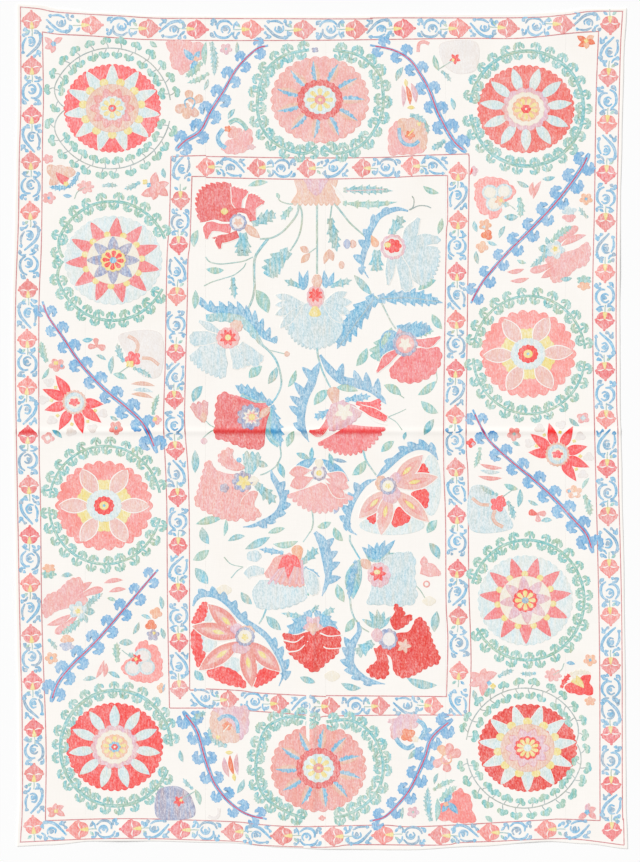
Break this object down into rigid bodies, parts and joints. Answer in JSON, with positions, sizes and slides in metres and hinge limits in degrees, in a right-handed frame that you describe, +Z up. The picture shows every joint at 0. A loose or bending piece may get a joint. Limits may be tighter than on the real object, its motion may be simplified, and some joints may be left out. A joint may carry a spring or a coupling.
{
  "type": "suzani embroidered textile",
  "caption": "Large hand-loomed cotton cloth sewn from lengthwise strips and worked all over in silk flowers, laid flat with soft storage creases.",
  "frame": {"origin": "middle of the cloth's box, on the surface that it lies on", "axes": "+Y along the cloth towards its top edge, +X to its right seen from above, +Z up out of its worked face"},
  "size_m": [1.733, 2.3809, 0.0048],
  "materials": {
    "hand_loomed_cotton": "matt plain weave, undyed",
    "silk_thread": "soft sheen, laid and couched stitches in many colours"
  },
  "bodies": {
    "root": {"panel_1": "hand_loomed_cotton", "panel_2": "hand_loomed_cotton", "panel_3": "hand_loomed_cotton", "panel_4": "hand_loomed_cotton", "panel_5": "hand_loomed_cotton", "panel_6": "hand_loomed_cotton"}
  },
  "joints": []
}
